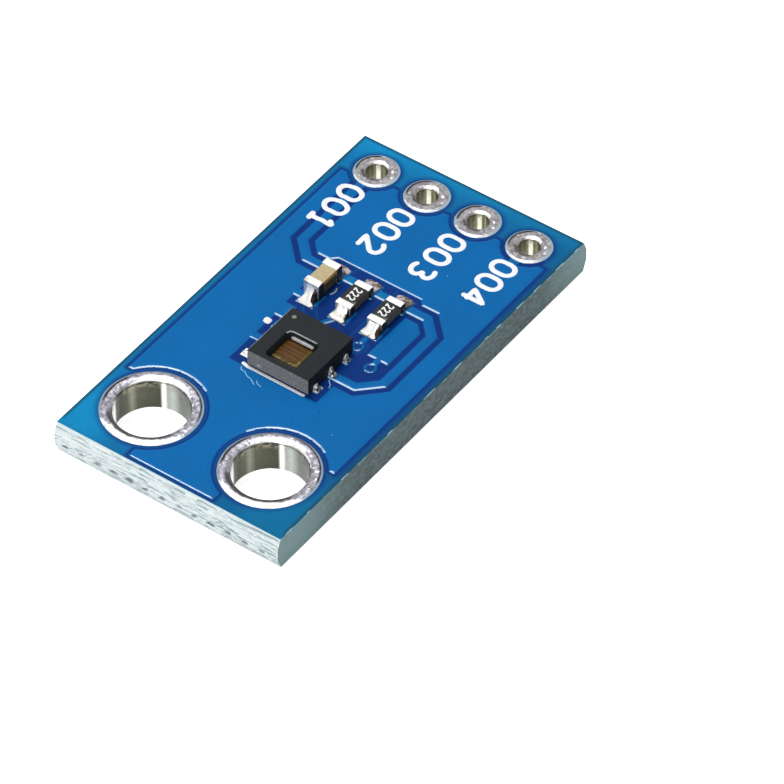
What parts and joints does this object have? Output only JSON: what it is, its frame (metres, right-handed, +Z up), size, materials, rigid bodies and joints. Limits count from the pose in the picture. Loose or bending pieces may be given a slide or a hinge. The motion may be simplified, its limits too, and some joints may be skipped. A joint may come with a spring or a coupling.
{
  "type": "temperature humidity sensor module",
  "caption": "Small blue circuit board with a square sensor package whose window shows its sensing film, plated pin holes along one end and plated mounting holes at the other.",
  "frame": {"origin": "under the middle of the board, at the level of the undersides of the plated rings that it lies on", "axes": "+X along the pin row from the supply pin to the ground pin, +Y from the mounting holes to the pin row, +Z up out of the side that carries the parts"},
  "size_m": [0.011, 0.0208, 0.0024],
  "materials": {
    "laminate": "matt glass-fibre laminate, blue-white and streaked where it was broken from its panel",
    "coated_copper": "blue solder mask over copper, semi-gloss",
    "tinned": "hot-air levelled tin, bright and uneven",
    "solder": "bright solder",
    "moulding": "matt black moulding compound",
    "ceramic": "fired tan ceramic",
    "alumina": "white fired alumina",
    "glaze": "black glaze",
    "silicon": "polished bare chip",
    "film": "amber polymer film"
  },
  "bodies": {
    "root": {"board": "laminate", "copper_pour": "coated_copper", "supply_trace": "coated_copper", "ground_island": "coated_copper", "clock_trace": "coated_copper", "data_trace": "coated_copper", "bottom_pour": "coated_copper", "clock_run": "coated_copper", "data_run": "coated_copper", "via_ground": "coated_copper", "via_clock": "coated_copper", "via_data": "coated_copper", "mount_plating_left": "tinned", "mount_plating_right": "tinned", "pin_plating_supply": "tinned", "pin_plating_data": "tinned", "pin_plating_clock": "tinned", "pin_plating_ground": "tinned", "spare_land_left": "tinned", "spare_land_right": "tinned", "heat_land": "tinned", "capacitor_cap_ground": "tinned", "capacitor_cap_supply": "tinned", "resistor_data_cap_signal": "tinned", "resistor_data_cap_supply": "tinned", "resistor_clock_cap_signal": "tinned", "resistor_clock_cap_supply": "tinned", "sensor_paddle": "tinned", "sensor_contact_1": "tinned", "sensor_contact_2": "tinned", "sensor_contact_3": "tinned", "sensor_contact_4": "tinned", "sensor_contact_5": "tinned", "sensor_contact_6": "tinned", "capacitor_joint_ground": "solder", "capacitor_joint_supply": "solder", "resistor_data_joint_signal": "solder", "resistor_data_joint_supply": "solder", "resistor_clock_joint_signal": "solder", "resistor_clock_joint_supply": "solder", "heat_joint": "solder", "sensor_joint_1": "solder", "sensor_joint_2": "solder", "sensor_joint_3": "solder", "sensor_joint_4": "solder", "sensor_joint_5": "solder", "sensor_joint_6": "solder", "sensor_body": "moulding", "capacitor_body": "ceramic", "resistor_data_body": "alumina", "resistor_clock_body": "alumina", "resistor_data_glaze": "glaze", "resistor_clock_glaze": "glaze", "sensor_die": "silicon", "sensing_film": "film"}
  },
  "joints": []
}
